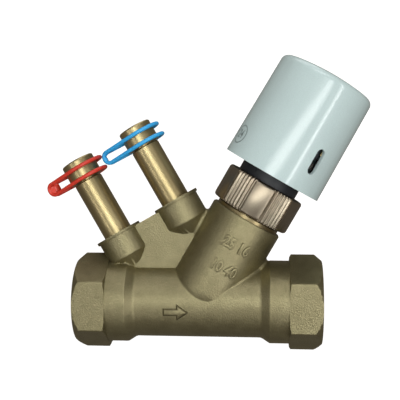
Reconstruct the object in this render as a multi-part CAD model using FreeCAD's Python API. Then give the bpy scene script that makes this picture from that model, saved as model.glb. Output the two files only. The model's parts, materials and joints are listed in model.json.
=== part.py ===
import FreeCAD, Part
import math
import os

from FreeCAD import Base

# Angle-pattern balancing valve with a gear-motor drive, in millimetres.
# Origin: centre of the inlet end face. X runs along the flow, Z is up.
# The neck and the drive stand on one inclined axis, the two test points on another.

Vec = Base.Vector

# Valve body, cast brass
BODY_LENGTH = 114.0
HEX_FLATS = 39.0
HEX_LENGTH = 15.0
HEX_OUTER_CHAMFER = 3.2
HEX_INNER_CHAMFER = 1.7
HEX_EDGE = 1.0
COLLAR_RADIUS = 19.25
COLLAR_LENGTH = 9.0
COLLAR_CONE = 4.0
BARREL_RADIUS = 16.7
PORT_RADIUS = 15.145
PORT_DEPTH = 17.0
FLOW_BORE_RADIUS = 12.0
INLET_BORE_END = 32.0
PASSAGE_RADIUS = 8.0
PASSAGE_DROP = 4.0
OUTLET_BORE_START = 67.0

# Neck, leaning towards the outlet
NECK_FOOT_X = 56.5
NECK_LEAN = 30.0
NECK_RADIUS = 17.4
NECK_END = -1.0
NECK_END_ROUND = 9.0
NECK_TOP = 45.6
NECK_RIM_BEVEL = 0.6
SEAT_RADIUS = 8.0
SEAT_LIP_RADIUS = 9.4
SEAT_DEPTH = 8.0
SEAT_TOP = 4.2
CHAMBER_FLOOR = 3.0
CHAMBER_RADIUS = 13.0
BONNET_BORE_RADIUS = 14.2
BONNET_BORE_DEPTH = 11.6

# Test-point bosses, leaning towards the inlet
TAP_LEAN = -30.0
TAP_SPACING = 31.4
INLET_TAP_FOOT_X = 36.9
INLET_TAP_RISE = 37.0
BOSS_LIP_RADIUS = 11.2
BOSS_LIP_HEIGHT = 1.3
BOSS_RADIUS = 10.4
BOSS_LENGTH = 11.5
BOSS_CONE = 6.5
BOSS_ROOT_RADIUS = 4.4
TAP_BORE_RADIUS = 5.72
TAP_BORE_DEPTH = 12.0
TAP_SEAL_RADIUS = 7.0
TAP_SEAL_DEPTH = 1.4
TAP_DRILL_RADIUS = 2.0
OUTLET_TAP_DRILL_DEPTH = 27.0
WEB_THICKNESS = 9.4
WEB_DROP = 1.2
NECK_FILLET = 1.2
BOSS_FILLET = 1.2

# Nipples, their screw caps and the plastic straps round them
NIPPLE_RADIUS = 6.875
NIPPLE_SHOULDER = 28.5
NIPPLE_NECK_RADIUS = 5.2
NIPPLE_TOP = 37.0
NIPPLE_BORE_RADIUS = 2.0
SEPTUM_RADIUS = 3.5
SEPTUM_LENGTH = 11.0
CAP_RADIUS = 7.9
CAP_TOP = 39.6
CAP_HEIGHT = 10.5
CAP_DOME = 0.7
CAP_TOP_THICKNESS = 2.0
CAP_EDGE = 0.8
CAP_SEAL_THICKNESS = 0.5
STRAP_CORD_RADIUS = 0.9
STRAP_LOOP_RADIUS = 9.5
STRAP_LOOP_OFFSET = 0.9
STRAP_LEVEL = 29.9
STRAP_RISE = 5.3
STRAP_WRAP = 115.0
RED_TAIL = 14.0
BLUE_TAIL = 15.4
RED_TAB = (5.9, 4.6, 5.8)
BLUE_TAB = (2.2, 3.8, 2.6)

# Bonnet, stem and throttle
BONNET_FLANGE_RADIUS = 15.6
BONNET_FLANGE = 1.8
STUB_RADIUS = 14.62
STUB_LENGTH = 10.6
STUB_BEVEL = 0.8
RING_SECTION = 1.0
SLEEVE_NECK_RADIUS = 7.0
SLEEVE_CAN_RADIUS = 9.3
SLEEVE_CAN_WALL = 1.3
SLEEVE_SKIRT_RADIUS = 12.6
SLEEVE_SKIRT_WALL = 2.2
SLEEVE_STEP = 30.0
SLEEVE_WINDOW_HEIGHT = 13.0
GLAND_RADIUS = 5.15
GLAND_DEPTH = 7.8
GLAND_LENGTH = 5.5
STEM_RADIUS = 3.0
STEM_TOP_GAP = 6.5
STEM_RING_RADIUS = 1.0
DIAL_RADIUS = 9.0
DIAL_THICKNESS = 2.0
DIAL_MARKS = 12
SPRING_WIRE = 1.3
SPRING_RADIUS = 6.0
SPRING_TURNS = 5
SPRING_SEAT = 1.6
CUP_RADIUS = 7.4
CUP_THICKNESS = 1.4
CUP_HUB_RADIUS = 4.6
PLUG_RADIUS = 9.6
PLUG_LIFT = 4.0
PLUG_HEIGHT = 4.0
PLUG_SEAL_THICKNESS = 1.5
PLUG_NUT_FLATS = 7.0
PLUG_NUT_HEIGHT = 3.0

# Union nut
NUT_RADIUS = 19.0
NUT_HEIGHT = 16.2
NUT_EDGE = 1.3
NUT_SHOULDER = 4.3
NUT_BORE_RADIUS = 14.7
NUT_GROOVE_RADIUS = 0.5
NUT_GROUPS = 6
NUT_GROOVES = 6
NUT_GROOVE_PITCH = 5.4
SNAP_RING_RADIUS = 13.6
SNAP_RING_THICKNESS = 1.2
SNAP_RING_GAP = 5.0

# Drive
BASE_NECK_RADIUS = 11.5
BASE_NECK_WALL = 1.3
BASE_COLLAR_RADIUS = 14.65
BASE_COLLAR = 4.3
BASE_PLATE = 3.0
BASE_HUB_RADIUS = 7.0
BASE_HUB = 4.3
POST_RADIUS = 2.5
POST_ANGLES = (0.0, 130.0, -115.0)
HOUSING_RADIUS = 24.1
HOUSING_DRAFT = 1.0
HOUSING_HEIGHT = 53.2
HOUSING_SHOULDER = 4.6
HOUSING_EDGE = 3.0
HOUSING_WALL = 1.8
WINDOW_LENGTH = 12.3
WINDOW_WIDTH = 4.2
WINDOW_LEVEL = 14.9
WINDOW_ANGLE = -55.0
CABLE_BORE_RADIUS = 2.6
CABLE_LEVEL = 9.5
CABLE_ANGLE = 90.0
GROMMET_RADIUS = 4.2
GROMMET_LIP = 5.6
GROMMET_LIP_THICKNESS = 1.2
GROMMET_LENGTH = 5.0
GROMMET_RECESS = 0.8
PLATE_HEIGHT = 13.2
PLATE_CLEARANCE = 1.8
PLATE_THICKNESS = 2.0
SCREW_RADIUS = 0.9
SCREW_HEAD_RADIUS = 1.9
SCREW_HEAD = 1.3
SCREW_LENGTH = 8.0
GEAR_CLEARANCE = 1.4
DRIVE_TEETH = 40
IDLER_TEETH = 28
PINION_TEETH = 10
GEAR_WIDTH = 3.0
DRIVE_HUB_RADIUS = 4.5
IDLER_PIN_RADIUS = 1.0
MOTOR_OFFSET_TEETH = 52
MOTOR_CLEARANCE = 0.8
MOTOR_HEADROOM = 3.0
MOTOR_CAP = 3.0
MOTOR_SHAFT_RADIUS = 0.75
MOTOR_ANGLE = 90.0
PLUNGER_RADIUS = 4.0
PLUNGER_SCREW_RADIUS = 2.8
PLUNGER_LENGTH = 9.5
PLUNGER_SCREW = 18.95
INDICATOR_WIDTH = 4.0
INDICATOR_THICKNESS = 1.6
INDICATOR_FLAG = 7.0
BOARD_HEADROOM = 9.9
BOARD_INSET = 0.5
BOARD_THICKNESS = 1.6
BOARD_POST_RADIUS = 1.8
BOARD_POST_ANGLES = (-25.0, 180.0, -95.0)

# Clearances
FIT = 0.05
RUNNING = 0.08
LIFT_GAP = 0.2
LOOSE = 0.3


def v(x, y, z):
    return Vec(x, y, z)


def turned(points):
    """Solid turned round Z from its half section, given as (radius, height) points.

    A point with a third value rounds that corner by that radius."""
    corners = [v(p[0], 0, p[1]) for p in points]
    count = len(corners)
    edges = []
    ends = []
    for index in range(count):
        here = corners[index]
        radius = points[index][2] if len(points[index]) > 2 else 0.0
        if radius <= 0.0:
            ends.append((here, here))
            continue
        back = (corners[index - 1] - here).normalize()
        ahead = (corners[(index + 1) % count] - here).normalize()
        half = back.getAngle(ahead) / 2.0
        reach = radius / math.tan(half)
        start = here + back * reach
        end = here + ahead * reach
        centre = here + (back + ahead).normalize() * (radius / math.sin(half))
        middle = centre + (here - centre).normalize() * radius
        edges.append((index, Part.Arc(start, middle, end).toShape()))
        ends.append((start, end))
    arcs = dict(edges)
    outline = []
    for index in range(count):
        if index in arcs:
            outline.append(arcs[index])
        start = ends[index][1]
        end = ends[(index + 1) % count][0]
        if start.distanceToPoint(end) > 1e-6:
            outline.append(Part.makeLine(start, end))
    face = Part.Face(Part.Wire(outline))
    return face.revolve(v(0, 0, 0), v(0, 0, 1), 360)


def rod(radius, low, high, x=0.0, y=0.0):
    return Part.makeCylinder(radius, high - low, v(x, y, low))


def ring(outer, inner, low, high):
    return rod(outer, low, high).cut(rod(inner, low - 1, high + 1))


def polar(radius, angle):
    return radius * math.cos(math.radians(angle)), radius * math.sin(math.radians(angle))


def prism(corners, low, high):
    """Straight prism over (x, y) corners."""
    points = [v(x, y, low) for x, y in corners]
    return Part.Face(Part.makePolygon(points + points[:1])).extrude(v(0, 0, high - low))


def block(x, y, z):
    """Box from three (low, high) pairs."""
    return Part.makeBox(x[1] - x[0], y[1] - y[0], z[1] - z[0], v(x[0], y[0], z[0]))


def joined(shapes):
    return shapes[0].multiFuse(shapes[1:]).removeSplitter()


def along_x(shape):
    """Turn a shape made round Z so that its axis runs along X."""
    result = shape.copy()
    result.rotate(v(0, 0, 0), v(0, 1, 0), 90)
    return result


def lean(shape, degrees, foot):
    """Lean a shape made round Z by an angle about Y and stand it on a foot point."""
    result = shape.copy()
    result.rotate(v(0, 0, 0), v(0, 1, 0), degrees)
    result.translate(foot)
    return result


def on_neck(shape):
    return lean(shape, NECK_LEAN, v(NECK_FOOT_X, 0, 0))


def tap_points():
    """Rim centre and drill depth of each test point, in one rim plane."""
    slant = math.radians(-TAP_LEAN)
    step = TAP_SPACING / math.cos(slant)
    rises = {"red": INLET_TAP_RISE, "blue": INLET_TAP_RISE + step * math.sin(slant)}
    feet = {"red": INLET_TAP_FOOT_X, "blue": INLET_TAP_FOOT_X + step}
    drills = {"red": INLET_TAP_RISE, "blue": OUTLET_TAP_DRILL_DEPTH}
    points = {}
    for name in ("red", "blue"):
        rim = v(feet[name] - rises[name] * math.sin(slant), 0, rises[name] * math.cos(slant))
        points[name] = (rim, drills[name], feet[name])
    return points


def on_tap(shape, name):
    return lean(shape, TAP_LEAN, tap_points()[name][0])


# Levels along the neck axis, from the barrel axis upwards
FLANGE_TOP = NECK_TOP + BONNET_FLANGE
STUB_TOP = FLANGE_TOP + STUB_LENGTH
NUT_FOOT = FLANGE_TOP + LOOSE
NUT_TOP = NUT_FOOT + NUT_HEIGHT
COLLAR_FOOT = NUT_TOP + LOOSE
HOUSING_FOOT = COLLAR_FOOT + BASE_COLLAR
PLATE_TOP = HOUSING_FOOT + BASE_PLATE
HUB_TOP = PLATE_TOP + BASE_HUB
DRIVE_LEVEL = HUB_TOP + LIFT_GAP
PLATE_LEVEL = PLATE_TOP + PLATE_HEIGHT
DECK = PLATE_LEVEL + PLATE_THICKNESS
SLEEVE_TOP = STUB_TOP + DIAL_THICKNESS
STEM_TOP = STUB_TOP + STEM_TOP_GAP
PLUNGER_TOP = STEM_TOP + PLUNGER_LENGTH + PLUNGER_SCREW
CAN_TOP = NECK_TOP + BONNET_FLANGE / 2.0 - LOOSE
CAN_CEILING = CAN_TOP - SLEEVE_CAN_WALL
SPRING_FOOT = SLEEVE_STEP
CUP_TOP = CAN_CEILING - LOOSE
PLUG_SEAL_FOOT = SEAT_TOP + PLUG_LIFT + FIT
PLUG_FOOT = PLUG_SEAL_FOOT + PLUG_SEAL_THICKNESS
PLUG_TOP = PLUG_FOOT + PLUG_HEIGHT
CHAMBER_TOP = NECK_TOP - BONNET_BORE_DEPTH

# What stands inside the housing fills it
HOUSING_TOP = HOUSING_FOOT + HOUSING_HEIGHT
HOUSING_TOP_RADIUS = HOUSING_RADIUS - HOUSING_DRAFT
INNER_RADIUS = HOUSING_TOP_RADIUS - HOUSING_WALL
PLATE_RADIUS = INNER_RADIUS - PLATE_CLEARANCE
POST_CIRCLE = PLATE_RADIUS - POST_RADIUS
BOARD_RADIUS = PLATE_RADIUS - BOARD_INSET
BOARD_POST_CIRCLE = BOARD_RADIUS - 1.5 * BOARD_POST_RADIUS
BOARD_LEVEL = HOUSING_TOP - HOUSING_WALL - BOARD_HEADROOM
BOARD_TOP = BOARD_LEVEL + BOARD_THICKNESS
GEAR_REACH = (DRIVE_TEETH + PINION_TEETH + IDLER_TEETH) / 2.0 + 0.8
GEAR_MODULE = (INNER_RADIUS - GEAR_CLEARANCE) / GEAR_REACH
MOTOR_CIRCLE = GEAR_MODULE * MOTOR_OFFSET_TEETH / 2.0
MOTOR_RADIUS = INNER_RADIUS - MOTOR_CIRCLE - MOTOR_CLEARANCE
MOTOR_LENGTH = BOARD_LEVEL - DECK - MOTOR_HEADROOM


def hex_end():
    """Union end of the body: hexagon with a corner up, bevelled on both faces."""
    corner = HEX_FLATS / math.sqrt(3.0)
    hexagon = prism([polar(corner, 60.0 * k) for k in range(6)], 0, HEX_LENGTH)
    uprights = [edge for edge in hexagon.Edges if edge.BoundBox.ZLength > HEX_LENGTH / 2.0]
    hexagon = hexagon.makeFillet(HEX_EDGE, uprights)
    rise = corner - HEX_FLATS / 2.0
    bevels = turned([
        (0, 0), (corner - HEX_OUTER_CHAMFER, 0), (corner + FIT, rise + HEX_OUTER_CHAMFER / 4.0),
        (corner + FIT, HEX_LENGTH - HEX_INNER_CHAMFER / 2.0),
        (corner - HEX_INNER_CHAMFER, HEX_LENGTH), (0, HEX_LENGTH)])
    return along_x(hexagon.common(bevels))


def barrel():
    """Waisted barrel between the hexagons."""
    cone_end = HEX_LENGTH + COLLAR_LENGTH + COLLAR_CONE
    collar_end = HEX_LENGTH + COLLAR_LENGTH
    half = [(COLLAR_RADIUS, HEX_LENGTH), (COLLAR_RADIUS, collar_end, 1.0),
            (BARREL_RADIUS, cone_end, 3.0)]
    mirrored = [(p[0], BODY_LENGTH - p[1]) + tuple(p[2:]) for p in reversed(half)]
    return along_x(turned([(0, HEX_LENGTH)] + half + mirrored + [(0, BODY_LENGTH - HEX_LENGTH)]))


def boss(name):
    """Raised boss of a test point, with a lip at its rim and a cone at its root."""
    cone_foot = -BOSS_LENGTH - BOSS_CONE
    rise = tap_points()[name][1]
    profile = [(0, 0), (BOSS_LIP_RADIUS, 0), (BOSS_LIP_RADIUS, -BOSS_LIP_HEIGHT),
               (BOSS_RADIUS, -BOSS_LIP_HEIGHT - LOOSE), (BOSS_RADIUS, -BOSS_LENGTH, 1.5),
               (BOSS_ROOT_RADIUS, cone_foot), (BOSS_ROOT_RADIUS, -rise), (0, -rise)]
    return on_tap(turned(profile), name)


def web():
    """Flat rib that fills the space between the bosses, the neck and the barrel."""
    points = tap_points()
    drop = on_tap(Part.Vertex(0, 0, -WEB_DROP), "red").Point
    far = on_tap(Part.Vertex(0, 0, -WEB_DROP), "blue").Point
    low_right = on_neck(Part.Vertex(0, 0, NECK_RADIUS)).Point
    outline = [drop, far, low_right, v(NECK_FOOT_X, 0, 0), v(points["red"][2], 0, 0)]
    shift = v(0, -WEB_THICKNESS / 2.0, 0)
    wire = Part.makePolygon([p + shift for p in outline + outline[:1]])
    return Part.Face(wire).extrude(v(0, WEB_THICKNESS, 0))


def neck():
    """Neck for the bonnet; its rounded end stands a little proud of the barrel."""
    return on_neck(turned([
        (0, NECK_END), (NECK_RADIUS, NECK_END, NECK_END_ROUND),
        (NECK_RADIUS, NECK_TOP - NECK_RIM_BEVEL), (NECK_RADIUS - NECK_RIM_BEVEL, NECK_TOP),
        (0, NECK_TOP)]))


def port():
    """Female thread bore at the inlet."""
    return along_x(rod(PORT_RADIUS, -1, PORT_DEPTH))


def opposite(shape):
    """The same shape at the outlet end."""
    return shape.mirror(v(BODY_LENGTH / 2.0, 0, 0), v(1, 0, 0))


def flow_way():
    """Everything cored or bored out of the body."""
    inlet_bore = along_x(rod(FLOW_BORE_RADIUS, PORT_DEPTH - 1, INLET_BORE_END))
    outlet_bore = along_x(rod(FLOW_BORE_RADIUS, OUTLET_BORE_START, BODY_LENGTH - PORT_DEPTH + 1))
    passage = along_x(rod(PASSAGE_RADIUS, INLET_BORE_END - 2, NECK_FOOT_X - 3))
    passage.translate(v(0, 0, -PASSAGE_DROP))
    seat = rod(SEAT_RADIUS, -SEAT_DEPTH, CHAMBER_FLOOR + 1)
    lip = ring(SEAT_LIP_RADIUS, SEAT_RADIUS, CHAMBER_FLOOR - 1, SEAT_TOP)
    chamber = rod(CHAMBER_RADIUS, CHAMBER_FLOOR, CHAMBER_TOP + 1).cut(lip)
    ring_seat = STUB_RADIUS + RING_SECTION / 2.0 + FIT
    bonnet_bore = turned([(0, CHAMBER_TOP), (BONNET_BORE_RADIUS, CHAMBER_TOP),
                          (BONNET_BORE_RADIUS, NECK_TOP - RING_SECTION - LOOSE),
                          (ring_seat, NECK_TOP - RING_SECTION), (ring_seat, NECK_TOP + 1),
                          (0, NECK_TOP + 1)])
    cores = [inlet_bore, outlet_bore, passage, port(), opposite(port())]
    cores += [on_neck(shape) for shape in (seat, chamber, bonnet_bore)]
    for name, (rim, drill, foot) in tap_points().items():
        bore = turned([(0, 1), (TAP_SEAL_RADIUS, 1), (TAP_SEAL_RADIUS, -TAP_SEAL_DEPTH),
                       (TAP_BORE_RADIUS, -TAP_SEAL_DEPTH), (TAP_BORE_RADIUS, -TAP_BORE_DEPTH),
                       (TAP_DRILL_RADIUS, -TAP_BORE_DEPTH - 2), (TAP_DRILL_RADIUS, -drill),
                       (0, -drill)])
        cores.append(on_tap(bore, name))
    return cores


def creases(shape, low, high):
    """Edges where two rounds meet, whose boxes lie between two corners in x and z."""
    found = []
    for edge in shape.Edges:
        box = edge.BoundBox
        inside = box.XMin > low[0] and box.XMax < high[0]
        inside = inside and box.ZMin > low[1] and box.ZMax < high[1]
        if inside and "BSpline" in edge.Curve.TypeId:
            found.append(edge)
    return found


def valve_body():
    """The casting: its rounds are joined one by one and each new crease is filleted."""
    body = joined([barrel(), neck()])
    body = body.makeFillet(NECK_FILLET, creases(body, (0, -HEX_FLATS), (BODY_LENGTH, NECK_TOP)))
    body = joined([body, boss("blue")])
    low = (NECK_FOOT_X - NECK_RADIUS, 1.5 * BARREL_RADIUS)
    high = (NECK_FOOT_X + NECK_RADIUS, NECK_TOP)
    body = body.makeFillet(BOSS_FILLET, creases(body, low, high))
    end = hex_end()
    body = joined([body, boss("red"), end, opposite(end), web()])
    for core in flow_way():
        body = body.cut(core)
    return body


def bonnet():
    """Turned insert that closes the neck and carries the thread for the union nut."""
    can_bore = SLEEVE_CAN_RADIUS + RUNNING
    neck_bore = SLEEVE_NECK_RADIUS + RUNNING
    thread = BONNET_BORE_RADIUS - FIT
    groove = NECK_TOP - RING_SECTION - LOOSE
    return on_neck(turned([
        (can_bore, SLEEVE_STEP + LOOSE), (CHAMBER_RADIUS - LOOSE, SLEEVE_STEP + LOOSE),
        (CHAMBER_RADIUS - LOOSE, CHAMBER_TOP + FIT), (thread, CHAMBER_TOP + 1.5),
        (thread, groove), (thread - LOOSE, groove), (thread - LOOSE, NECK_TOP),
        (BONNET_FLANGE_RADIUS, NECK_TOP), (BONNET_FLANGE_RADIUS, FLANGE_TOP - LOOSE),
        (BONNET_FLANGE_RADIUS - LOOSE, FLANGE_TOP), (STUB_RADIUS, FLANGE_TOP),
        (STUB_RADIUS, STUB_TOP - STUB_BEVEL), (STUB_RADIUS - STUB_BEVEL, STUB_TOP),
        (neck_bore, STUB_TOP), (neck_bore, CAN_TOP + LOOSE), (can_bore, CAN_TOP + LOOSE)]))


def rubber_ring(radius, section, level):
    return Part.makeTorus(radius, section, v(0, 0, level))


def bonnet_o_ring():
    section = RING_SECTION / 2.0 - FIT
    return on_neck(rubber_ring(STUB_RADIUS, section, NECK_TOP - RING_SECTION / 2.0))


def preset_sleeve():
    """Throttle sleeve turned from above: neck, spring can and slotted skirt in one piece."""
    inner = STEM_RADIUS + RUNNING
    gland_bore = GLAND_RADIUS + FIT
    can = SLEEVE_CAN_RADIUS - SLEEVE_CAN_WALL
    skirt = SLEEVE_SKIRT_RADIUS - SLEEVE_SKIRT_WALL
    foot = CHAMBER_FLOOR + LOOSE
    flare = SLEEVE_STEP - SLEEVE_SKIRT_WALL
    sleeve = turned([
        (SLEEVE_SKIRT_RADIUS, foot), (SLEEVE_SKIRT_RADIUS, SLEEVE_STEP),
        (SLEEVE_CAN_RADIUS, SLEEVE_STEP), (SLEEVE_CAN_RADIUS, CAN_TOP),
        (SLEEVE_NECK_RADIUS, CAN_TOP), (SLEEVE_NECK_RADIUS, SLEEVE_TOP),
        (gland_bore, SLEEVE_TOP), (gland_bore, SLEEVE_TOP - GLAND_DEPTH),
        (inner, SLEEVE_TOP - GLAND_DEPTH), (inner, CAN_CEILING), (can, CAN_CEILING),
        (can, flare), (skirt, flare), (skirt, foot)])
    half = SLEEVE_SKIRT_RADIUS * 0.6
    sill = CHAMBER_FLOOR + SLEEVE_SKIRT_WALL
    window = block((0, CHAMBER_RADIUS), (-half, half), (sill, sill + SLEEVE_WINDOW_HEIGHT))
    return on_neck(sleeve.cut(window))


def preset_dial():
    """Setting ring on the sleeve, with a notch for each step."""
    foot = STUB_TOP + LIFT_GAP
    dial = ring(DIAL_RADIUS, SLEEVE_NECK_RADIUS, foot, foot + DIAL_THICKNESS)
    for k in range(DIAL_MARKS):
        x, y = polar(DIAL_RADIUS, 360.0 * k / DIAL_MARKS)
        dial = dial.cut(rod(0.5, foot - 1, foot + DIAL_THICKNESS + 1, x, y))
    return on_neck(dial)


def gland_screw():
    low = SLEEVE_TOP - GLAND_LENGTH
    screw = ring(GLAND_RADIUS, STEM_RADIUS + RUNNING, low, SLEEVE_TOP - LIFT_GAP)
    slot = block((-GLAND_RADIUS - 1, GLAND_RADIUS + 1), (-0.6, 0.6),
                 (SLEEVE_TOP - 1.4, SLEEVE_TOP + 1))
    return on_neck(screw.cut(slot))


def stem_o_ring():
    radius = STEM_RADIUS + RUNNING + STEM_RING_RADIUS
    level = SLEEVE_TOP - GLAND_DEPTH + STEM_RING_RADIUS + FIT
    return on_neck(rubber_ring(radius, STEM_RING_RADIUS, level))


def spring_seat():
    outer = SLEEVE_CAN_RADIUS - SLEEVE_CAN_WALL
    return on_neck(ring(outer, STEM_RADIUS + LOOSE, SPRING_FOOT - SPRING_SEAT, SPRING_FOOT))


def return_spring():
    """Compression spring that lifts the stem, so that the valve stands open at rest."""
    wire = SPRING_WIRE / 2.0
    low = SPRING_FOOT + wire + FIT
    high = CUP_TOP - CUP_THICKNESS - wire - FIT
    helix = Part.makeHelix((high - low) / SPRING_TURNS, high - low, SPRING_RADIUS)
    circle = Part.Circle(v(SPRING_RADIUS, 0, 0), v(0, 1, 0), wire)
    coil = Part.Wire(helix).makePipeShell([Part.Wire(circle.toShape())], True, True)
    coil.translate(v(0, 0, low))
    return on_neck(coil)


def spring_cup():
    bore = STEM_RADIUS + FIT
    plate = CUP_TOP - CUP_THICKNESS
    return on_neck(turned([(bore, CUP_TOP), (CUP_RADIUS, CUP_TOP), (CUP_RADIUS, plate),
                           (CUP_HUB_RADIUS, plate), (CUP_HUB_RADIUS, plate - CUP_THICKNESS),
                           (bore, plate - CUP_THICKNESS)]))


def valve_stem():
    tip = STEM_RADIUS - 1.0
    foot = PLUG_SEAL_FOOT - PLUG_NUT_HEIGHT
    return on_neck(turned([(0, foot), (tip, foot), (tip, PLUG_TOP), (STEM_RADIUS, PLUG_TOP),
                           (STEM_RADIUS, STEM_TOP - 0.5), (STEM_RADIUS - 0.5, STEM_TOP),
                           (0, STEM_TOP)]))


def valve_plug():
    bore = STEM_RADIUS - 1.0 + FIT
    return on_neck(turned([(bore, PLUG_FOOT), (PLUG_RADIUS, PLUG_FOOT),
                           (PLUG_RADIUS, PLUG_TOP - 1.5), (PLUG_RADIUS - 1.5, PLUG_TOP),
                           (bore, PLUG_TOP)]))


def plug_seal():
    return on_neck(ring(PLUG_RADIUS, STEM_RADIUS - 1.0 + FIT, PLUG_SEAL_FOOT, PLUG_FOOT))


def plug_nut():
    corner = PLUG_NUT_FLATS / math.sqrt(3.0)
    foot = PLUG_SEAL_FOOT - PLUG_NUT_HEIGHT
    nut = prism([polar(corner, 60.0 * k) for k in range(6)], foot, PLUG_SEAL_FOOT)
    return on_neck(nut.cut(rod(STEM_RADIUS - 1.0 + FIT, foot - 1, PLUG_SEAL_FOOT + 1)))


def union_nut():
    """Nut that clamps the drive on the bonnet, with its grip grooves in groups."""
    hole = BASE_NECK_RADIUS + LOOSE + RUNNING
    nut = turned([(NUT_BORE_RADIUS, NUT_FOOT), (NUT_RADIUS, NUT_FOOT, NUT_EDGE),
                  (NUT_RADIUS, NUT_TOP, NUT_EDGE), (hole, NUT_TOP),
                  (hole, NUT_TOP - NUT_SHOULDER), (NUT_BORE_RADIUS, NUT_TOP - NUT_SHOULDER)])
    grooves = []
    for group in range(NUT_GROUPS):
        for k in range(NUT_GROOVES):
            turn = 360.0 * group / NUT_GROUPS + NUT_GROOVE_PITCH * (k - (NUT_GROOVES - 1) / 2.0)
            x, y = polar(NUT_RADIUS, turn)
            grooves.append(rod(NUT_GROOVE_RADIUS, NUT_FOOT - 1, NUT_TOP + 1, x, y))
    return on_neck(nut.cut(Part.makeCompound(grooves)))


def nut_snap_ring():
    """Split ring in a groove of the base: the nut's shoulder pulls on it."""
    inner = BASE_NECK_RADIUS - BASE_NECK_WALL / 2.0
    low = STUB_TOP + LOOSE
    clip = ring(SNAP_RING_RADIUS, inner, low, low + SNAP_RING_THICKNESS)
    gap = block((0, SNAP_RING_RADIUS + 1), (-SNAP_RING_GAP / 2.0, SNAP_RING_GAP / 2.0),
                (low - 1, low + SNAP_RING_THICKNESS + 1))
    return on_neck(clip.cut(gap))


def housing_solid(inset, foot, top):
    """Drafted round cover with a rounded shoulder and a shallow dome, shrunk by an inset."""
    low = HOUSING_RADIUS - inset
    high = HOUSING_TOP_RADIUS - inset
    side = Part.makeCone(low, high, top - foot, v(0, 0, foot))
    sag = HOUSING_SHOULDER / 2.0
    sphere = (high * high + sag * sag) / (2.0 * sag)
    dome = Part.makeSphere(sphere, v(0, 0, top - sphere))
    body = side.common(dome)
    rims = [edge for edge in body.Edges
            if len(edge.Vertexes) == 1 and foot + 1 < edge.BoundBox.Center.z < top - 0.5]
    return body.makeFillet(HOUSING_EDGE - inset / 2.0, rims)


def actuator_housing():
    """Moulded cover with the position window and the cable entry."""
    outer = housing_solid(0, HOUSING_FOOT, HOUSING_TOP)
    hollow = housing_solid(HOUSING_WALL, HOUSING_FOOT - FIT, HOUSING_TOP - HOUSING_WALL)
    shell = outer.cut(hollow)
    half = (WINDOW_LENGTH - WINDOW_WIDTH) / 2.0
    centre = HOUSING_FOOT + WINDOW_LEVEL
    inside = HOUSING_TOP_RADIUS - 2.0 * HOUSING_WALL
    reach = 3.0 * HOUSING_WALL + HOUSING_DRAFT
    slot = Part.makeBox(reach, WINDOW_WIDTH, 2.0 * half,
                        v(inside, -WINDOW_WIDTH / 2.0, centre - half))
    for end in (centre - half, centre + half):
        round_end = Part.makeCylinder(WINDOW_WIDTH / 2.0, reach, v(inside, 0, end), v(1, 0, 0))
        slot = slot.fuse(round_end)
    slot.rotate(v(0, 0, 0), v(0, 0, 1), WINDOW_ANGLE)
    entry = Part.makeCylinder(GROMMET_RADIUS, reach,
                              v(inside, 0, HOUSING_FOOT + CABLE_LEVEL), v(1, 0, 0))
    entry.rotate(v(0, 0, 0), v(0, 0, 1), CABLE_ANGLE)
    return on_neck(shell.cut(slot).cut(entry))


def radial(shape, angle, level):
    """Turn a shape made round Z so that it points out of the drive at an angle and level."""
    result = along_x(shape)
    result.rotate(v(0, 0, 0), v(0, 0, 1), angle)
    result.translate(v(0, 0, level))
    return result


def cable_grommet():
    """Rubber bush in the cable entry, with a lip outside and inside the wall."""
    draft = HOUSING_DRAFT * CABLE_LEVEL / HOUSING_HEIGHT
    outside = HOUSING_RADIUS - draft + RUNNING
    inside = outside - HOUSING_WALL - GROMMET_RECESS
    lip = GROMMET_LIP_THICKNESS
    bush = turned([
        (CABLE_BORE_RADIUS, inside - lip), (GROMMET_LIP, inside - lip), (GROMMET_LIP, inside),
        (GROMMET_RADIUS - FIT, inside), (GROMMET_RADIUS - FIT, outside),
        (GROMMET_LIP, outside), (GROMMET_LIP, outside + lip, 0.4),
        (CABLE_BORE_RADIUS + lip, outside + lip),
        (CABLE_BORE_RADIUS + lip, outside + GROMMET_LENGTH),
        (CABLE_BORE_RADIUS, outside + GROMMET_LENGTH)])
    return on_neck(radial(bush, CABLE_ANGLE, HOUSING_FOOT + CABLE_LEVEL))


def gear_centres():
    """Idler and motor centres: the idler meshes with the drive wheel and the motor pinion."""
    to_idler = GEAR_MODULE * (DRIVE_TEETH + PINION_TEETH) / 2.0
    to_motor = GEAR_MODULE * (IDLER_TEETH + PINION_TEETH) / 2.0
    cosine = (to_idler ** 2 + MOTOR_CIRCLE ** 2 - to_motor ** 2) / (2 * to_idler * MOTOR_CIRCLE)
    idler_angle = MOTOR_ANGLE - math.degrees(math.acos(cosine))
    return polar(to_idler, idler_angle), polar(MOTOR_CIRCLE, MOTOR_ANGLE), idler_angle


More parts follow.
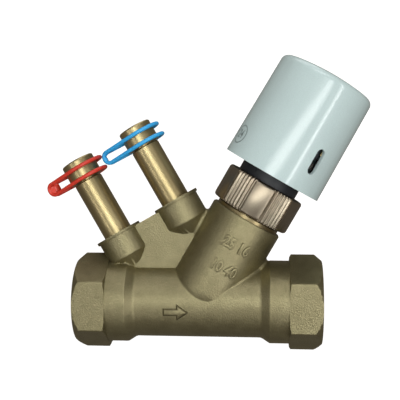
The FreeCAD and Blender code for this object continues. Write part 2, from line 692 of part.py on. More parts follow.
def actuator_base():
    """Moulded base: neck for the union nut, collar, floor of the housing, hub and posts."""
    bore = BASE_NECK_RADIUS - BASE_NECK_WALL
    groove = BASE_NECK_RADIUS - BASE_NECK_WALL / 2.0
    groove_low = STUB_TOP + LOOSE
    groove_high = groove_low + SNAP_RING_THICKNESS
    guide = PLUNGER_RADIUS + RUNNING
    guide_low = COLLAR_FOOT + BASE_COLLAR / 2.0
    floor_radius = HOUSING_RADIUS - HOUSING_WALL - RUNNING
    body = turned([
        (bore, STUB_TOP), (BASE_NECK_RADIUS, STUB_TOP), (BASE_NECK_RADIUS, groove_low),
        (groove, groove_low), (groove, groove_high), (BASE_NECK_RADIUS, groove_high),
        (BASE_NECK_RADIUS, COLLAR_FOOT), (BASE_COLLAR_RADIUS, COLLAR_FOOT),
        (BASE_COLLAR_RADIUS, HOUSING_FOOT), (floor_radius, HOUSING_FOOT),
        (floor_radius, PLATE_TOP), (BASE_HUB_RADIUS, PLATE_TOP), (BASE_HUB_RADIUS, HUB_TOP),
        (guide, HUB_TOP), (guide, guide_low), (bore, guide_low)])
    idler = gear_centres()[0]
    posts = [rod(POST_RADIUS, PLATE_TOP - 1, PLATE_LEVEL, *polar(POST_CIRCLE, angle))
             for angle in POST_ANGLES]
    posts.append(rod(2.0 * IDLER_PIN_RADIUS, PLATE_TOP - 1, HUB_TOP, *idler))
    body = joined([body] + posts)
    for angle in POST_ANGLES:
        x, y = polar(POST_CIRCLE, angle)
        body = body.cut(rod(SCREW_RADIUS, PLATE_LEVEL - SCREW_LENGTH, PLATE_LEVEL + 1, x, y))
    return on_neck(body.cut(rod(IDLER_PIN_RADIUS, PLATE_TOP - 1, HUB_TOP + 1, *idler)))


def gear_plate():
    """Upper bearing plate of the gears, screwed on the posts; it carries the motor."""
    idler, motor, angle = gear_centres()
    plate = rod(PLATE_RADIUS, PLATE_LEVEL, DECK)
    holes = [rod(PLUNGER_SCREW_RADIUS + LOOSE, PLATE_LEVEL - 1, DECK + 1),
             rod(IDLER_PIN_RADIUS, PLATE_LEVEL - 1, DECK + 1, *idler),
             rod(2.0 * MOTOR_SHAFT_RADIUS, PLATE_LEVEL - 1, DECK + 1, *motor)]
    for angle in POST_ANGLES:
        holes.append(rod(SCREW_RADIUS, PLATE_LEVEL - 1, DECK + 1, *polar(POST_CIRCLE, angle)))
    half = INDICATOR_WIDTH / 2.0 + LOOSE
    notch = block((PLATE_RADIUS - 2.0 * INDICATOR_THICKNESS, PLATE_RADIUS + 1), (-half, half),
                  (PLATE_LEVEL - 1, DECK + 1))
    notch.rotate(v(0, 0, 0), v(0, 0, 1), WINDOW_ANGLE)
    return on_neck(plate.cut(Part.makeCompound(holes)).cut(notch))


def plate_screws():
    screws = []
    for angle in POST_ANGLES:
        tip = DECK - SCREW_LENGTH
        head = DECK + SCREW_HEAD
        screw = turned([(0, tip), (SCREW_RADIUS - FIT, tip), (SCREW_RADIUS - FIT, DECK),
                        (SCREW_HEAD_RADIUS, DECK), (SCREW_HEAD_RADIUS, head, SCREW_HEAD / 3.0),
                        (0, head)])
        across = 0.6 * SCREW_HEAD_RADIUS
        thin = 0.1 * SCREW_HEAD_RADIUS
        depth = (DECK + SCREW_HEAD / 2.0, head + 1)
        cross = [block((-across, across), (-thin, thin), depth),
                 block((-thin, thin), (-across, across), depth)]
        screw = screw.cut(cross[0]).cut(cross[1])
        x, y = polar(POST_CIRCLE, angle)
        screw.translate(v(x, y, 0))
        screws.append(screw)
    return on_neck(Part.makeCompound(screws))


def toothed(teeth, low, high, phase):
    """Spur gear with straight-flanked teeth and backlash, one tooth at the phase angle."""
    pitch_radius = GEAR_MODULE * teeth / 2.0
    tip = pitch_radius + 0.8 * GEAR_MODULE
    root = pitch_radius - 1.1 * GEAR_MODULE
    step = 360.0 / teeth
    corners = []
    for k in range(teeth):
        centre = phase + step * k
        corners.append(polar(root, centre - 0.29 * step))
        corners.append(polar(tip, centre - 0.12 * step))
        corners.append(polar(tip, centre + 0.12 * step))
        corners.append(polar(root, centre + 0.29 * step))
    return prism(corners, low, high)


def mate_phase(direction, phase, teeth, mate_teeth):
    """Phase of a gear that lies in a direction from its mate and meshes with it."""
    return direction + 180.0 + 180.0 / mate_teeth - (phase - direction) * teeth / mate_teeth


def drive_wheel():
    """Wheel with a threaded hub: as it turns, the plunger's screw moves through it."""
    wheel = toothed(DRIVE_TEETH, DRIVE_LEVEL, DRIVE_LEVEL + GEAR_WIDTH, 0)
    hub = rod(DRIVE_HUB_RADIUS, DRIVE_LEVEL, PLATE_LEVEL - LIFT_GAP)
    bore = rod(PLUNGER_SCREW_RADIUS + RUNNING, DRIVE_LEVEL - 1, PLATE_LEVEL + 1)
    return on_neck(joined([wheel, hub]).cut(bore))


def idler_gear():
    """Two gears in one piece: the small one drives the wheel, the large one is driven."""
    (x, y), motor, angle = gear_centres()
    step_up = DRIVE_LEVEL + GEAR_WIDTH + 2.0 * LOOSE
    small = toothed(PINION_TEETH, DRIVE_LEVEL, step_up + 1,
                    mate_phase(angle, 0, DRIVE_TEETH, PINION_TEETH))
    large = toothed(IDLER_TEETH, step_up, step_up + GEAR_WIDTH, 0)
    hub = rod(2.0 * IDLER_PIN_RADIUS, step_up, PLATE_LEVEL - LIFT_GAP)
    gear = joined([small, large, hub])
    gear = gear.cut(rod(IDLER_PIN_RADIUS + RUNNING, DRIVE_LEVEL - 1, PLATE_LEVEL))
    gear.translate(v(x, y, 0))
    return on_neck(gear)


def idler_pin():
    x, y = gear_centres()[0]
    return on_neck(rod(IDLER_PIN_RADIUS, PLATE_TOP - 1, DECK, x, y))


def motor_pinion():
    (ix, iy), (mx, my), angle = gear_centres()
    direction = math.degrees(math.atan2(my - iy, mx - ix))
    low = DRIVE_LEVEL + GEAR_WIDTH + 2.0 * LOOSE
    pinion = toothed(PINION_TEETH, low, low + GEAR_WIDTH,
                     mate_phase(direction, 0, IDLER_TEETH, PINION_TEETH))
    pinion = pinion.cut(rod(MOTOR_SHAFT_RADIUS, low - 1, PLATE_LEVEL))
    pinion.translate(v(mx, my, 0))
    return on_neck(pinion)


def motor_shaft():
    x, y = gear_centres()[1]
    low = DRIVE_LEVEL + GEAR_WIDTH + 2.0 * LOOSE
    top = DECK + MOTOR_LENGTH / 2.0
    return on_neck(rod(MOTOR_SHAFT_RADIUS, low, top, x, y))


def motor():
    """Can motor standing on the gear plate."""
    x, y = gear_centres()[1]
    top = DECK + MOTOR_LENGTH
    bore = MOTOR_SHAFT_RADIUS + RUNNING
    bore_top = DECK + MOTOR_LENGTH / 2.0 + LOOSE
    can = turned([(bore, DECK), (MOTOR_RADIUS, DECK), (MOTOR_RADIUS, top, 1.0),
                  (MOTOR_CAP, top), (MOTOR_CAP, top + 1), (0, top + 1), (0, bore_top),
                  (bore, bore_top)])
    can.translate(v(x, y, 0))
    return on_neck(can)


def plunger():
    """Screw that the drive wheel moves; its foot presses the valve stem."""
    foot = STEM_TOP + FIT
    step = foot + PLUNGER_LENGTH
    return on_neck(turned([(0, foot), (PLUNGER_RADIUS, foot, 0.5), (PLUNGER_RADIUS, step),
                           (PLUNGER_SCREW_RADIUS, step), (PLUNGER_SCREW_RADIUS, PLUNGER_TOP),
                           (0, PLUNGER_TOP)]))


def indicator():
    """Arm on the plunger, with a flag that shows in the housing's window."""
    low = PLUNGER_TOP - INDICATOR_THICKNESS
    half = INDICATOR_WIDTH / 2.0
    reach = PLATE_RADIUS + INDICATOR_THICKNESS / 2.0
    arm = block((0, reach), (-half, half), (low, PLUNGER_TOP))
    flag = block((reach - INDICATOR_THICKNESS, reach), (-half, half),
                 (low - INDICATOR_FLAG, PLUNGER_TOP))
    hub = rod(PLUNGER_SCREW_RADIUS + INDICATOR_THICKNESS, low, PLUNGER_TOP)
    bore = rod(PLUNGER_SCREW_RADIUS, low - 1, PLUNGER_TOP + 1)
    piece = joined([arm, flag, hub]).cut(bore)
    piece.rotate(v(0, 0, 0), v(0, 0, 1), WINDOW_ANGLE)
    return on_neck(piece)


def circuit_board():
    return on_neck(rod(BOARD_RADIUS, BOARD_LEVEL, BOARD_TOP))


def board_posts():
    posts = [rod(BOARD_POST_RADIUS, DECK, BOARD_LEVEL, *polar(BOARD_POST_CIRCLE, angle))
             for angle in BOARD_POST_ANGLES]
    return on_neck(Part.makeCompound(posts))


def board_parts():
    """Chips, a relay and two capacitors soldered on the board."""
    half = BOARD_RADIUS / 2.0
    chip_top = BOARD_TOP + BOARD_HEADROOM / 5.0
    relay_top = BOARD_TOP + BOARD_HEADROOM / 3.0
    can_top = BOARD_TOP + BOARD_HEADROOM / 2.5
    chips = [block((-half, half / 3.0), (-half / 2.0, half / 2.0), (BOARD_TOP, chip_top)),
             block((half * 0.6, half * 1.3), (-half / 2.0, half / 3.0), (BOARD_TOP, relay_top))]
    cans = [rod(half / 4.0, BOARD_TOP, can_top, x, half) for x in (-half * 0.6, half * 0.1)]
    return on_neck(Part.makeCompound(chips + cans))


def nipple(name):
    """Test nipple: threaded spigot, long tube, shoulder and a threaded neck for the cap."""
    spigot = TAP_BORE_RADIUS - FIT
    pocket = NIPPLE_TOP - SEPTUM_LENGTH
    seat = -TAP_SEAL_DEPTH / 2.0 + LIFT_GAP
    return on_tap(turned([
        (NIPPLE_BORE_RADIUS, 1.0 - TAP_BORE_DEPTH), (spigot, 1.0 - TAP_BORE_DEPTH),
        (spigot, seat), (NIPPLE_RADIUS, seat), (NIPPLE_RADIUS, NIPPLE_SHOULDER - 0.5),
        (NIPPLE_RADIUS - 0.5, NIPPLE_SHOULDER), (NIPPLE_NECK_RADIUS, NIPPLE_SHOULDER),
        (NIPPLE_NECK_RADIUS, NIPPLE_TOP - 0.5), (NIPPLE_NECK_RADIUS - 0.5, NIPPLE_TOP),
        (SEPTUM_RADIUS, NIPPLE_TOP), (SEPTUM_RADIUS, pocket), (NIPPLE_BORE_RADIUS, pocket)]),
        name)


def nipple_seal(name):
    seat = -TAP_SEAL_DEPTH / 2.0 + LIFT_GAP
    return on_tap(ring(NIPPLE_RADIUS, TAP_BORE_RADIUS, -TAP_SEAL_DEPTH, seat), name)


def septum(name):
    """Self-sealing rubber core: a slit opens for a measuring needle."""
    core = rod(SEPTUM_RADIUS - FIT, NIPPLE_TOP - SEPTUM_LENGTH, NIPPLE_TOP - LOOSE)
    slit = block((-SEPTUM_RADIUS / 2.0, SEPTUM_RADIUS / 2.0), (-0.1, 0.1),
                 (NIPPLE_TOP - 2.0, NIPPLE_TOP))
    return on_tap(core.cut(slit), name)


def cap(name):
    """Screw cap with a domed top."""
    foot = CAP_TOP - CAP_HEIGHT
    bore = NIPPLE_NECK_RADIUS + RUNNING
    blank = turned([(0, foot), (CAP_RADIUS, foot), (CAP_RADIUS, CAP_TOP), (0, CAP_TOP)])
    sphere = (CAP_RADIUS ** 2 + CAP_DOME ** 2) / (2.0 * CAP_DOME)
    blank = blank.common(Part.makeSphere(sphere, v(0, 0, CAP_TOP - sphere)))
    rims = [edge for edge in blank.Edges
            if len(edge.Vertexes) == 1 and edge.BoundBox.Center.z > foot + 1]
    blank = blank.makeFillet(CAP_EDGE, rims)
    return on_tap(blank.cut(rod(bore, foot - 1, CAP_TOP - CAP_TOP_THICKNESS)), name)


def cap_seal(name):
    high = CAP_TOP - CAP_TOP_THICKNESS - FIT
    return on_tap(rod(NIPPLE_NECK_RADIUS - FIT, high - CAP_SEAL_THICKNESS, high), name)


def strap_half(tail):
    """Half of the strap's cord: round the cap, back to the fold, down and round the tube."""
    section = STRAP_CORD_RADIUS
    top = STRAP_LEVEL + STRAP_RISE
    turn = math.radians(STRAP_WRAP)
    bend = STRAP_RISE / 2.0
    heading = v(-math.sin(turn), math.cos(turn), 0)

    def on_loop(angle, level):
        return v(STRAP_LOOP_OFFSET + STRAP_LOOP_RADIUS * math.cos(angle),
                 STRAP_LOOP_RADIUS * math.sin(angle), level)

    def loop_arc(level):
        return [on_loop(turn * part, level) for part in (0.0, 0.5, 1.0)]

    upper = loop_arc(top)
    lower = loop_arc(STRAP_LEVEL)
    upper_end = upper[2] + heading * tail
    lower_end = lower[2] + heading * tail
    fold = (upper_end + lower_end) * 0.5 + heading * bend
    edges = [Part.Arc(*upper).toShape(), Part.makeLine(upper[2], upper_end),
             Part.Arc(upper_end, fold, lower_end).toShape(),
             Part.makeLine(lower_end, lower[2]),
             Part.Arc(lower[2], lower[1], lower[0]).toShape()]
    circle = Part.Circle(upper[0], v(0, 1, 0), section)
    return Part.Wire(edges).makePipeShell([Part.Wire(circle.toShape())], True, False)


def strap(name, tab, tail):
    """Moulded strap: one ring round the cap, one round the tube, joined at a folded tab."""
    half = strap_half(tail)
    length, width, height = tab
    turn = math.radians(STRAP_WRAP)
    tip = STRAP_LOOP_OFFSET + STRAP_LOOP_RADIUS * math.cos(turn)
    tip -= (tail + STRAP_RISE / 2.0) * math.sin(turn) + STRAP_CORD_RADIUS
    middle = STRAP_LEVEL + STRAP_RISE / 2.0
    block_tab = block((tip, tip + length), (-width / 2.0, width / 2.0),
                      (middle - height / 2.0, middle + height / 2.0))
    block_tab = block_tab.makeFillet(0.45 * min(tab), block_tab.Edges)
    other = half.mirror(v(0, 0, 0), v(0, 1, 0))
    return on_tap(joined([half, other, block_tab]), name)


PIECES = {
    "valve_body": valve_body,
    "bonnet": bonnet,
    "bonnet_o_ring": bonnet_o_ring,
    "preset_sleeve": preset_sleeve,
    "preset_dial": preset_dial,
    "gland_screw": gland_screw,
    "stem_o_ring": stem_o_ring,
    "spring_seat": spring_seat,
    "return_spring": return_spring,
    "spring_cup": spring_cup,
    "valve_stem": valve_stem,
    "valve_plug": valve_plug,
    "plug_seal": plug_seal,
    "plug_nut": plug_nut,
    "union_nut": union_nut,
    "nut_snap_ring": nut_snap_ring,
    "actuator_base": actuator_base,
    "actuator_housing": actuator_housing,
    "cable_grommet": cable_grommet,
    "gear_plate": gear_plate,
    "plate_screws": plate_screws,
    "drive_wheel": drive_wheel,
    "idler_gear": idler_gear,
    "idler_pin": idler_pin,
    "motor_pinion": motor_pinion,
    "motor_shaft": motor_shaft,
    "motor": motor,
    "plunger": plunger,
    "indicator": indicator,
    "circuit_board": circuit_board,
    "board_posts": board_posts,
    "board_parts": board_parts,
}
TAP_PIECES = {"nipple": nipple, "nipple_seal": nipple_seal, "septum": septum, "cap": cap,
              "cap_seal": cap_seal}


def save(name, shape):
    shape.exportStep(os.path.join("parts", name + ".step"))
    print(name, len(shape.Solids), round(shape.Volume, 1), shape.isValid())


os.makedirs("parts", exist_ok=True)
for node, make in PIECES.items():
    save(node, make())
for colour, tab_size, tail_length in (("red", RED_TAB, RED_TAIL), ("blue", BLUE_TAB, BLUE_TAIL)):
    for kind, make in TAP_PIECES.items():
        save(colour + "_" + kind, make(colour))
    save(colour + "_strap", strap(colour, tab_size, tail_length))
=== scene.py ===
import json
import math

import bmesh
import bpy
from mathutils import Matrix, Vector


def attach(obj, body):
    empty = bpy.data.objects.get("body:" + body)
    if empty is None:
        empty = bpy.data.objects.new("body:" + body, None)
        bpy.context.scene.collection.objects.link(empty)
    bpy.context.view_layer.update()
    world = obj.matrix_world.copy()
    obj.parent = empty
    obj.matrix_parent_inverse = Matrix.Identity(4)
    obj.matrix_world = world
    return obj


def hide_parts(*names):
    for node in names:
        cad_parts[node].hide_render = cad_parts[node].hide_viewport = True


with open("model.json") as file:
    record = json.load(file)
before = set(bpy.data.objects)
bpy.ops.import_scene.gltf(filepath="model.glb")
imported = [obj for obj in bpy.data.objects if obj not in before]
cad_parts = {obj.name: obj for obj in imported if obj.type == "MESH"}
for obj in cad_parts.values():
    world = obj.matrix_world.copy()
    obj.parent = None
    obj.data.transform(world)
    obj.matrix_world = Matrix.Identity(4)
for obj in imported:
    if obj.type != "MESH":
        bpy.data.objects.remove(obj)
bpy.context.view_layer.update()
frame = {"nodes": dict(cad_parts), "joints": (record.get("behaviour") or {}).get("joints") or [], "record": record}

MM = 0.001


# The valve body, hot-pressed and sand-blasted brass in one piece: two hexagon ends, the
# barrel, the inclined neck, two bosses and the web between them. Its bores and end faces
# are machined, and its side faces stay as they left the die.
BODY_TONES = ((0.245, 0.215, 0.118), (0.290, 0.258, 0.146))
# Painted shade: the dark tone laid into the hollows at the foot of raised marks.
CREVICE_SHADE_TONE = (0.055, 0.045, 0.022)
PATCH_RANGE = (0.32, 0.68)
GRAIN_SHADE = 0.35


def new_material(name):
    """A new material, with its node tree and its Principled shader."""
    material = bpy.data.materials.new(name)
    material.use_nodes = True
    tree = material.node_tree
    return material, tree, tree.nodes["Principled BSDF"]


def add_node(tree, kind, **settings):
    """Adds a node. A setting is a property of it, or an input with _ for its spaces."""
    made = tree.nodes.new(kind)
    for key, value in settings.items():
        if hasattr(made, key):
            setattr(made, key, value)
        else:
            made.inputs[key.replace("_", " ")].default_value = value
    return made


def grain_group():
    """Shader group that puts out the broad patches and the fine grain of a surface."""
    group = bpy.data.node_groups.new("grain", "ShaderNodeTree")
    for name, value in (("Patch Scale", 90.0), ("Grain Scale", 1500.0), ("Detail", 4.0)):
        socket = group.interface.new_socket(name, in_out="INPUT", socket_type="NodeSocketFloat")
        socket.default_value = value
    for name in ("Patch", "Grain"):
        group.interface.new_socket(name, in_out="OUTPUT", socket_type="NodeSocketFloat")
    entry = group.nodes.new("NodeGroupInput")
    leave = group.nodes.new("NodeGroupOutput")
    place = group.nodes.new("ShaderNodeTexCoord")
    patch = add_node(group, "ShaderNodeTexNoise", Detail=3.0, Roughness=0.55)
    grain = add_node(group, "ShaderNodeTexNoise", Roughness=0.6)
    link = group.links.new
    for name, texture in (("Patch", patch), ("Grain", grain)):
        link(place.outputs["Object"], texture.inputs["Vector"])
        link(entry.outputs[name + " Scale"], texture.inputs["Scale"])
        link(texture.outputs["Fac"], leave.inputs[name])
    link(entry.outputs["Detail"], grain.inputs["Detail"])
    return group


GRAIN = grain_group()


def grained(name, tones, rough, metallic, patches, grains, bump, depth=0.1 * MM):
    """Finish whose colour and gloss drift in patches, with a fine grain in its face."""
    material, tree, shader = new_material(name)
    link = tree.links.new
    grain = add_node(tree, "ShaderNodeGroup", node_tree=GRAIN, Patch_Scale=patches,
                     Grain_Scale=grains)
    tint = add_node(tree, "ShaderNodeValToRGB")
    for stop, position, tone in zip(tint.color_ramp.elements, PATCH_RANGE, tones):
        stop.position = position
        stop.color = (*tone, 1.0)
    link(grain.outputs["Patch"], tint.inputs["Fac"])
    shade = add_node(tree, "ShaderNodeMapRange", From_Min=0.3, From_Max=0.7, To_Min=0.75,
                     To_Max=1.1)
    link(grain.outputs["Grain"], shade.inputs["Value"])
    fleck = add_node(tree, "ShaderNodeMix", data_type="RGBA", blend_type="MULTIPLY",
                     Factor=GRAIN_SHADE)
    link(tint.outputs["Color"], fleck.inputs["A"])
    link(shade.outputs["Result"], fleck.inputs["B"])
    link(fleck.outputs["Result"], shader.inputs["Base Color"])
    gloss = add_node(tree, "ShaderNodeMapRange", To_Min=rough[0], To_Max=rough[1])
    link(grain.outputs["Patch"], gloss.inputs["Value"])
    link(gloss.outputs["Result"], shader.inputs["Roughness"])
    relief = add_node(tree, "ShaderNodeBump", Strength=bump, Distance=depth)
    link(grain.outputs["Grain"], relief.inputs["Height"])
    link(relief.outputs["Normal"], shader.inputs["Normal"])
    shader.inputs["Metallic"].default_value = metallic
    return material


def paint_crevice_shade(material, dark):
    """Paints shade where a piece's own attribute marks the foot of its relief."""
    tree = material.node_tree
    colour = tree.nodes["Principled BSDF"].inputs["Base Color"]
    mask = add_node(tree, "ShaderNodeAttribute", attribute_name="crevice")
    mix = add_node(tree, "ShaderNodeMix", data_type="RGBA")
    mix.inputs["B"].default_value = (*dark, 1.0)
    tree.links.new(mask.outputs["Fac"], mix.inputs["Factor"])
    tree.links.new(colour.links[0].from_socket, mix.inputs["A"])
    tree.links.new(mix.outputs["Result"], colour)


def link_piece(name, mesh, material, body, slot, *replaced):
    """Puts a finished mesh in the scene as a piece that rides on a body."""
    piece = bpy.data.objects.new(name, mesh)
    bpy.context.scene.collection.objects.link(piece)
    mesh.materials.clear()
    mesh.materials.append(material)
    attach(piece, body)
    if replaced:
        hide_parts(*replaced)
    return piece


def finish_mesh(name, work, crease=30.0):
    """Smooth-shaded mesh of a bmesh, sharp where its faces turn by more than the crease."""
    mesh = bpy.data.meshes.new(name)
    work.to_mesh(mesh)
    work.free()
    mesh.shade_smooth()
    mesh.set_sharp_from_angle(angle=math.radians(crease))
    return mesh


def cad_copy(name, source, material, body, slot, crease=30.0):
    """Merged copy of a CAD node's mesh, which it replaces, with its flat faces kept flat."""
    work = bmesh.new()
    work.from_mesh(frame["nodes"][source].data)
    bmesh.ops.remove_doubles(work, verts=work.verts, dist=0.002 * MM)
    bmesh.ops.dissolve_limit(work, angle_limit=math.radians(0.4), verts=work.verts,
                             edges=work.edges)
    mesh = finish_mesh(name, work, crease)
    piece = link_piece(name, mesh, material, body, slot, source)
    flats = piece.modifiers.new("flat_faces_stay_flat", "WEIGHTED_NORMAL")
    flats.keep_sharp = True


cast_brass = grained("cast_brass", BODY_TONES, rough=(0.38, 0.46), metallic=0.9,
                     patches=200.0, grains=1500.0, bump=0.45, depth=0.4 * MM)
# The cast brass carries painted shade at the foot of the arrow and of the neck figures.
paint_crevice_shade(cast_brass, CREVICE_SHADE_TONE)
cad_copy("body_casting", "valve_body", cast_brass, "valve", "cast_brass", crease=32.0)


# Flow arrow on the front of the barrel, cast in one with the body: a raised arrow with
# sloping sides, soft at its edges from blasting, with painted shade round its foot. It is
# drawn flat, raised, sliced across and then bent round the barrel.
BARREL_RADIUS = 16.7
ARROW_X, ARROW_Z = 47.5, -2.7
ARROW_LENGTH, ARROW_WIDTH = 12.1, 8.4
SHAFT_WIDTH, POINT_LENGTH = 3.9, 6.0
ARROW_FOOT = -0.25
ARROW_SLOPES = ((0.75, 1.05), (0.25, 0.15))
ARROW_SLICE, SLICES_EACH_WAY = 0.55, 7
ARROW_SHADE_HEIGHT = 0.6


def arrow_mesh():
    work = bmesh.new()
    shade_layer = work.verts.layers.float.new("crevice")
    back, tip = -ARROW_LENGTH / 2.0, ARROW_LENGTH / 2.0
    neck = tip - POINT_LENGTH
    thin, wide = SHAFT_WIDTH / 2.0, ARROW_WIDTH / 2.0
    corners = [(back, -thin), (neck, -thin), (neck, -wide), (tip, 0.0), (neck, wide),
               (neck, thin), (back, thin)]
    face = work.faces.new([work.verts.new((x, z, ARROW_FOOT)) for x, z in corners])
    face.normal_update()
    for inward, upward in ARROW_SLOPES:
        bmesh.ops.inset_region(work, faces=[face], thickness=inward, depth=upward,
                               use_boundary=True, use_even_offset=True)
    for step in range(-SLICES_EACH_WAY, SLICES_EACH_WAY + 1):
        bmesh.ops.bisect_plane(work, geom=work.verts[:] + work.edges[:] + work.faces[:],
                               plane_co=(0, ARROW_SLICE * step, 0), plane_no=(0, 1, 0),
                               dist=1e-5)
    for vert in work.verts:
        x, z, height = vert.co
        # Painted shade, strongest at the foot of the relief and gone at the arrow's shade height.
        vert[shade_layer] = max(0.0, min(1.0, 1.0 - height / ARROW_SHADE_HEIGHT))
        radius = BARREL_RADIUS + height
        level = ARROW_Z + z
        vert.co = Vector((ARROW_X + x, -math.sqrt(radius ** 2 - level ** 2), level)) * MM
    bmesh.ops.recalc_face_normals(work, faces=work.faces)
    return finish_mesh("flow_arrow", work, crease=50.0)


link_piece("flow_arrow", arrow_mesh(), cast_brass, "valve", "cast_brass")


# Size marks on the front of the neck: two lines of plain raised figures, cast in one with
# the body and bent round the neck. Their place follows the neck's axis, which is that of
# the union nut's joint.
NECK_RADIUS = 17.4
NECK_MARKS = ((33.0, "25 16"), (21.4, "10 40"))
FIGURE_LINE, FIGURE_HEIGHT, FIGURE_DEPTH = 13.5, 5.0, 0.75
FIGURE_TURN, FIGURE_SINK = 0.13, -0.05
# Height over which painted shade fades out above the figures' foot.
FIGURE_SHADE_HEIGHT = 0.4
JOINT_LEVEL = 55.0


def neck_place():
    """Place at the foot of the neck's axis, on the barrel's, with Z up along the neck."""
    joint = next(joint for joint in frame["joints"] if joint["name"] == "nut_turn")
    axis = Vector(joint["axis"]).normalized()
    across = Vector((0.0, 1.0, 0.0)).cross(axis).normalized()
    turn = Matrix((across, axis.cross(across), axis)).transposed().to_4x4()
    return Matrix.Translation(Vector(joint["pos_m"]) - axis * (JOINT_LEVEL * MM)) @ turn


def raised_figures(name, text, length, height, depth, widen):
    """Mesh of a line of figures lying flat, centred, with sloping sides to its depth."""
    words = bpy.data.curves.new(name, "FONT")
    words.body = text
    words.align_x, words.align_y = "CENTER", "CENTER"
    words.size = height / 0.72
    words.extrude, words.bevel_depth = 0.4 * depth, 0.6 * depth
    words.bevel_resolution = 1
    words.offset = widen
    words.resolution_u = 6
    holder = bpy.data.objects.new(name, words)
    flat = bpy.data.meshes.new_from_object(holder)
    bpy.data.objects.remove(holder)
    bpy.data.curves.remove(words)
    reach = max(abs(vert.co.x) for vert in flat.vertices)
    flat.transform(Matrix.Scale(length / 2.0 / reach, 4, (1, 0, 0)))
    return flat


def wrapped(flat, radius, turn, level, sink, draft=0.0):
    """Bends a flat mesh round the neck's axis at a radius, a turn and a level."""
    work = bmesh.new()
    work.from_mesh(flat)
    bpy.data.meshes.remove(flat)
    bmesh.ops.remove_doubles(work, verts=work.verts, dist=0.005)
    shade_layer = work.verts.layers.float.new("crevice")
    for vert in work.verts:
        x, y, height = vert.co
        # Painted shade at the foot of the raised marks, fading with height.
        vert[shade_layer] = max(0.0, min(1.0, 1.0 - height / FIGURE_SHADE_HEIGHT))
        angle = turn + x / radius
        reach = radius - draft * y + height + sink
        vert.co = Vector((reach * math.sin(angle), -reach * math.cos(angle), level + y)) * MM
    work.transform(NECK)
    return work


NECK = neck_place()
for line, (level, text) in enumerate(NECK_MARKS, start=1):
    name = "neck_figures_" + str(line)
    figures = raised_figures(name, text, FIGURE_LINE, FIGURE_HEIGHT, FIGURE_DEPTH, 0.0)
    work = wrapped(figures, NECK_RADIUS, FIGURE_TURN, level, FIGURE_SINK)
    link_piece(name, finish_mesh(name, work, crease=40.0), cast_brass, "valve", "cast_brass")


# Pipe threads in both ends of the casting: cut G1 threads of 11 turns to the inch. Each is
# modelled as the ridge that stands in the plain bore.
BODY_LENGTH = 114.0
PORT_RADIUS, PORT_DEPTH = 15.165, 0.7
PORT_PITCH, PORT_TURNS = 2.309, 6
PORT_START = 1.9
machined_brass = grained("machined_brass", ((0.46, 0.36, 0.17), (0.58, 0.47, 0.25)),
                         rough=(0.22, 0.32), metallic=1.0, patches=50.0, grains=2600.0,
                         bump=0.05)


def thread_ridge(name, radius, depth, pitch, turns, place, steps=96):
    """Ridge of a thread on a round wall: its section spun and lifted at the same time."""
    work = bmesh.new()
    foot, crest = 0.48 * pitch, 0.08 * pitch
    section = [(radius, -foot), (radius - depth, -crest), (radius - depth, crest),
               (radius, foot)]
    verts = [work.verts.new((r * MM, 0.0, z * MM)) for r, z in section]
    edges = [work.edges.new(pair) for pair in zip(verts, verts[1:])]
    bmesh.ops.spin(work, geom=verts + edges, cent=(0, 0, 0), axis=(0, 0, 1),
                   dvec=(0, 0, pitch * MM / steps), angle=math.tau * turns,
                   steps=steps * turns)
    bmesh.ops.recalc_face_normals(work, faces=work.faces)
    work.transform(place)
    return finish_mesh(name, work)


PORT_ENDS = {"inlet": Matrix.Rotation(math.radians(90), 4, "Y"),
             "outlet": Matrix.Translation((BODY_LENGTH * MM, 0, 0))
             @ Matrix.Rotation(math.radians(-90), 4, "Y")}
for end, place in PORT_ENDS.items():
    name = end + "_pipe_thread"
    start = place @ Matrix.Translation((0, 0, PORT_START * MM))
    ridge = thread_ridge(name, PORT_RADIUS, PORT_DEPTH, PORT_PITCH, PORT_TURNS, start)
    link_piece(name, ridge, machined_brass, "valve", "cast_brass")


# Bonnet, a turned brass insert screwed into the neck. Its flange shows as a thin ring
# under the union nut, and its stub carries the M30 thread that the nut grips.
STUB_RADIUS, STUB_RELIEF = 14.6, 0.06
STUB_PITCH, STUB_TURNS = 1.5, 5
STUB_THREAD_FOOT = 50.0
# Darker copy of the turned brass: painted shade for the flange ring that sits in shadow under the nut.
shaded_bonnet_brass = grained("shaded_bonnet_brass", ((0.27, 0.215, 0.115), (0.36, 0.29, 0.16)),
                       rough=(0.30, 0.40), metallic=1.0, patches=60.0, grains=2600.0,
                       bump=0.05)
cad_copy("bonnet_turned", "bonnet", shaded_bonnet_brass, "valve", "turned_brass")
stub_thread = thread_ridge("bonnet_thread", STUB_RADIUS, -STUB_RELIEF, STUB_PITCH, STUB_TURNS,
                           NECK @ Matrix.Translation((0, 0, STUB_THREAD_FOOT * MM)))
link_piece("bonnet_thread", stub_thread, shaded_bonnet_brass, "valve", "turned_brass")


# Union nut, turned from brass bar and nickel plated. It draws the drive down on the
# bonnet's thread. Grip ribs are rolled round it in six groups, with plain stretches
# between them.
NUT_FOOT, NUT_TOP, NUT_SHOULDER = 47.7, 63.9, 59.6
NUT_RADIUS, NUT_BORE, NUT_HOLE = 19.0, 14.7, 11.9
NUT_ROUNDING = ((1.5, 0.0), (0.75, 0.12), (0.25, 0.5), (0.0, 1.3))
NUT_STEPS = 720
RIB_GROUPS, RIBS_IN_GROUP, RIB_PITCH, RIB_DEPTH = 6, 6, 5.4, 0.75
RIB_RUNOUT = 0.8
nut_metal = grained("nut_metal", ((0.27, 0.235, 0.18), (0.36, 0.30, 0.225)),
                    rough=(0.30, 0.40), metallic=1.0, patches=60.0, grains=1800.0,
                    bump=0.08)


def rib_cut(angle):
    """Depth of the grip at an angle: round furrows in a group, none between groups."""
    group = 360.0 / RIB_GROUPS
    here = (math.degrees(angle) + group / 2.0) % group - group / 2.0
    if abs(here) > RIB_PITCH * RIBS_IN_GROUP / 2.0:
        return 0.0
    return RIB_DEPTH * (0.5 - 0.5 * math.cos(math.tau * (here / RIB_PITCH + 0.5))) ** 0.8


